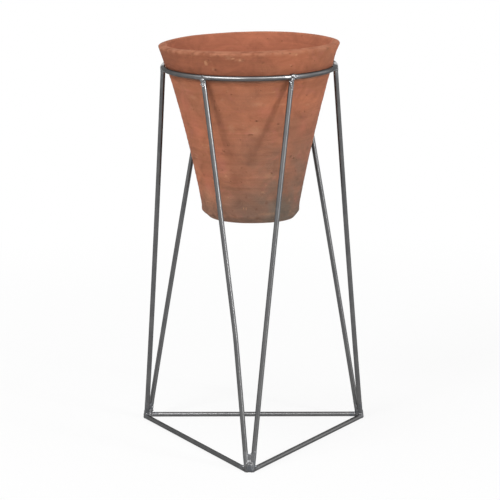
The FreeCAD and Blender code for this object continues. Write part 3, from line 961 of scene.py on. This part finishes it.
barSteel = makeBarSteel()
weldSteel = makeWeldSteel("steel_weld")
cornerSteel = makeWeldSteel("steel_weld_corner")
for rodName in rodNames:
    makeBar(rodName, barSteel)
makeRing(barSteel)
print("bars drawn")

millimetres = 1000  # in a metre
weldSizes = {
    "voxel": 0.42,  # mm
    "stub": 0.011,  # how much of each rod is taken in beside a weld
    "cornerStub": 0.014,
    "seamStub": 0.006,
    "fatten": 0.00012,
    "smoothing": 7,
    "ripple": 0.00016,
    "ripplePitch": 0.0017,
    "rippleSlant": 0.6,
    "rippleReach": 0.0012,  # how far from the bead they have died out
    "wander": 0.0010,
    "wanderScale": 400,
    "lump": 0.00022,
    "lumpScale": 520,
    "floorGap": 0.0001,  # nothing hangs lower than this
}


# how each weld was laid: the size of its bead and the lumps on it, each with its middle and radius in mm
# ringFrom is how far back along the ring the rod is taken in, where that isn't the stub's own length
weldForms = {
    "front_left_ring_weld": {
        "beadShare": 0.72,
        "lumps": [
            (-54.8, -88.6, 461.6, 1.9),
            (-53.6, -93.4, 455.4, 1.6),
            (-52.0, -94.6, 452.8, 1.6),
            (-52.4, -93.6, 465.2, 1.4),
        ],
        "smoothing": 2,
    },
    "front_right_ring_weld": {
        "beadShare": 0.0,
        "lumps": [
            (53.6, -92.9, 461.0, 1.8),
            (52.2, -93.9, 458.7, 1.6),
            (51.1, -94.3, 456.5, 1.5),
            (51.3, -94.6, 454.0, 1.3),
            (51.6, -94.7, 451.4, 1.1),
            (48.9, -92.9, 458.4, 0.9),
        ],
        "smoothing": 2,
    },
    "ring_seam_weld": {
        "beadShare": 1.0,
        "lumps": [(53.9, -90.9, 464.2, 3.3), (56.2, -91.4, 462.6, 1.9)],
        "ringFrom": 0.0,
        "smoothing": 2,
    },
    "left_outer_ring_weld": {"beadShare": 0.62},
    "right_outer_ring_weld": {"beadShare": 0.62},
    "front_corner_weld": {
        "lumps": [
            (0.4, -157.2, 1.9, 2.4),
            (0.3, -157.1, 5.4, 2.2),
            (-1.2, -156.8, 8.6, 2.3),
            (1.6, -156.8, 8.0, 2.3),
            (0.2, -155.6, 12.0, 1.9),
            (-7.5, -155.3, 6.2, 1.7),
            (7.5, -155.3, 6.2, 1.5),
        ],
        "smoothing": 5,
        "beadShare": 0.94,
        "rippleShare": 0.3,
    },
    "left_corner_weld": {
        "lumps": [
            (-132.5, 80.5, 5.0, 2.6),
            (-132.5, 81.0, 2.0, 2.0),
            (-138.5, 74.5, 5.0, 2.0),
            (-128.6, 79.8, 12.5, 1.3),
            (-128.9, 80.2, 9.0, 1.2),
            (-129.3, 79.5, 15.5, 1.0),
        ],
    },
    "right_corner_weld": {
        "lumps": [
            (132.0, 80.0, 5.6, 2.5),
            (132.2, 80.0, 2.2, 2.2),
            (134.5, 77.0, 6.5, 1.9),
            (137.7, 73.5, 2.8, 2.7),
        ],
    },
}


def stubOf(name, joint, reach, back):
    bm = mergedCopy(name)
    if name == "support_ring":
        along = Vector((-joint.y, joint.x, 0)).normalized()
        trimmed(bm, Vector((0, 0, 0)), Vector((-joint.x, -joint.y, 0)))
        trimmed(bm, joint + along * reach, along)
        trimmed(bm, joint - along * back, -along)
    else:
        middle = barLine(bm)[0]
        away = (middle - joint).normalized()
        trimmed(bm, joint + away * reach, away)
    bm.normal_update()
    for vertex in bm.verts:
        vertex.co += vertex.normal * weldSizes["fatten"]
    return bm


def addMesh(target, source):
    mesh = bpy.data.meshes.new("part")
    source.to_mesh(mesh)
    source.free()
    target.from_mesh(mesh)
    bpy.data.meshes.remove(mesh)


def fused(bm, name):
    bm.transform(Matrix.Scale(millimetres, 4))
    mesh = bpy.data.meshes.new(name)
    bm.to_mesh(mesh)
    bm.free()
    rough = bpy.data.objects.new(name, mesh)
    scene.collection.objects.link(rough)
    remesh = rough.modifiers.new("fuse", "REMESH")
    remesh.mode = "VOXEL"
    remesh.voxel_size = weldSizes["voxel"]
    whole = bpy.data.meshes.new_from_object(rough.evaluated_get(bpy.context.evaluated_depsgraph_get()))
    bpy.data.objects.remove(rough)
    made = bmesh.new()
    made.from_mesh(whole)
    made.transform(Matrix.Scale(1 / millimetres, 4))
    return made


def rippled(bm, skin, middle, much):
    w = weldSizes
    flat = Vector((-middle.y, middle.x, 0)).normalized()
    bm.normal_update()
    for vertex in bm.verts:
        near = skin.find_nearest(vertex.co)[3]
        share = max(0.0, 1 - near / w["rippleReach"])
        off = vertex.co - middle
        wander = noise.noise(vertex.co * w["wanderScale"]) * w["wander"]
        run = off.dot(flat) + off.z * w["rippleSlant"] + wander
        wave = math.sin(math.tau * run / w["ripplePitch"])
        lump = noise.noise(vertex.co * w["lumpScale"])
        vertex.co += vertex.normal * share * much * (wave * w["ripple"] + lump * w["lump"])


def makeWeld(name, rods, reach, material):
    high, middle = onBox(name)[1:]
    form = weldForms.get(name, {})
    share = form.get("beadShare", 1.0)
    run = bmesh.new()
    if share:
        bead = mergedCopy(name)
        root = Vector((middle.x, middle.y, high.z))
        bead.transform(Matrix.Translation(root) @ Matrix.Scale(share, 4) @ Matrix.Translation(-root))
        addMesh(run, bead)
    for x, y, z, radius in form.get("lumps", []):
        spot = Matrix.Translation(Vector((x, y, z)) / millimetres)
        bmesh.ops.create_icosphere(run, subdivisions=3, radius=radius / millimetres, matrix=spot)
    skin = BVHTree.FromBMesh(run)
    whole = bmesh.new()
    addMesh(whole, run)
    for rod in rods:
        addMesh(whole, stubOf(rod, middle, reach, form.get("ringFrom", reach)))
    bm = fused(whole, name)
    for step in range(form.get("smoothing", weldSizes["smoothing"])):
        bmesh.ops.smooth_vert(
            bm, verts=bm.verts, factor=0.5, use_axis_x=True, use_axis_y=True, use_axis_z=True,
        )
    rippled(bm, skin, middle, form.get("rippleShare", 1.0))
    for vertex in bm.verts:
        vertex.co.z = max(vertex.co.z, weldSizes["floorGap"])
    finished(bm, "bead_" + name, "stand", material, [name], sharp=180)  # no edge is sharp


for legName in legNames:
    makeWeld(legName + "_ring_weld", [legName + "_leg", "support_ring"], weldSizes["stub"], weldSteel)
makeWeld("ring_seam_weld", ["support_ring"], weldSizes["seamStub"], weldSteel)
cornerRods = {
    "front": ["front_left_leg", "front_right_leg", "right_base_rod", "left_base_rod"],
    "right": ["right_outer_leg", "right_inner_leg", "right_base_rod", "back_base_rod"],
    "left": ["left_outer_leg", "left_inner_leg", "left_base_rod", "back_base_rod"],
}
for cornerName, rods in cornerRods.items():
    makeWeld(cornerName + "_corner_weld", rods, weldSizes["cornerStub"], cornerSteel)
print("welds run")

# the studio: a pale floor, soft lamps and a white surrounding
studio = {
    "floorRadius": 6.0,
    "floorSegments": 96,
    "floor": tone(238, 238, 238),
    "surround": 0.42,
    "whiteNear": 0.86,  # how much of the floor's white is its own, near the stand and away from it
    "whiteFar": 1.0,
    "whiteSpan": (0.2, 1.2),  # how far out the one turns into the other
    "lamps": [
        ("lamp_right", (2.32, -1.70, 1.3), (0.26, 1.5), 40),
        ("lamp_left", (-1.45, -1.95, 2.0), (0.9, 0.6), 49),
        ("lamp_top", (-0.3, -0.5, 2.7), (0.9, 0.6), 12),
    ],
    "strips": [  # these show as reflections only
        ("strip_right", (2.36, -1.66, 1.4), (0.8, 1.8), 54),
        ("strip_low", (2.36, -1.66, 0.2), (0.8, 0.6), 8),
        ("strip_left", (-1.33, -1.96, 2.1), (2.6, 0.4), 115),
        ("strip_front", (1.33, -1.96, 2.1), (1.5, 0.36), 50),
        ("strip_side", (2.6, 0.9, 0.9), (1.0, 2.2), 14),
    ],
    "aim": (0, 0, 0.3),
}


def makeStage():
    bm = bmesh.new()
    segments = studio["floorSegments"]
    bmesh.ops.create_circle(bm, cap_ends=True, radius=studio["floorRadius"], segments=segments)
    mesh = bpy.data.meshes.new("floor")
    bm.to_mesh(mesh)
    bm.free()
    floor = bpy.data.objects.new("floor", mesh)
    scene.collection.objects.link(floor)
    material = bpy.data.materials.new("floor")
    material.use_nodes = True
    tree = material.node_tree
    tree.nodes.clear()
    pale = add(tree, "BsdfDiffuse", {"Color": studio["floor"]}).outputs[0]
    glow = add(tree, "Emission", {"Color": (1, 1, 1, 1), "Strength": 1.0}).outputs[0]
    place = add(tree, "TexCoord").outputs["Object"]
    away = add(tree, "VectorMath", {0: place}, operation="LENGTH").outputs["Value"]
    white = spread(tree, away, *studio["whiteSpan"], studio["whiteNear"], studio["whiteFar"])
    share = combine(tree, "MULTIPLY", seenDirectly(tree), white)
    surface = add(tree, "MixShader", {0: share, 1: pale, 2: glow}).outputs[0]
    clear = add(tree, "BsdfTransparent").outputs[0]
    back = add(tree, "NewGeometry").outputs["Backfacing"]
    surface = add(tree, "MixShader", {0: back, 1: surface, 2: clear}).outputs[0]
    add(tree, "OutputMaterial", {"Surface": surface})
    mesh.materials.append(material)


def seenDirectly(tree):
    path = add(tree, "LightPath")
    sharp = combine(tree, "MAXIMUM", path.outputs["Is Glossy Ray"], path.outputs["Is Transmission Ray"])
    return combine(tree, "MAXIMUM", path.outputs["Is Camera Ray"], sharp)


def makeSurround():
    world = bpy.data.worlds.new("surround")
    scene.world = world
    world.use_nodes = True
    tree = world.node_tree
    tree.nodes.clear()
    strength = spread(tree, seenDirectly(tree), 0.0, 1.0, studio["surround"], 1.0)
    light = add(tree, "Background", {"Color": (1, 1, 1, 1), "Strength": strength}).outputs[0]
    add(tree, "OutputWorld", {"Surface": light})


def makeLamps():
    for name, place, size, power in studio["lamps"] + studio["strips"]:
        data = bpy.data.lights.new(name, "AREA")
        data.shape = "RECTANGLE"
        data.size, data.size_y = size
        data.energy = power
        lamp = bpy.data.objects.new(name, data)
        lamp.visible_diffuse = name.startswith("lamp")
        scene.collection.objects.link(lamp)
        toward = Vector(studio["aim"]) - Vector(place)
        lamp.matrix_world = Matrix.Translation(place) @ toward.to_track_quat("-Z", "Y").to_matrix().to_4x4()


makeStage()
makeSurround()
makeLamps()
scene.view_settings.view_transform = "Standard"
print("studio lit")
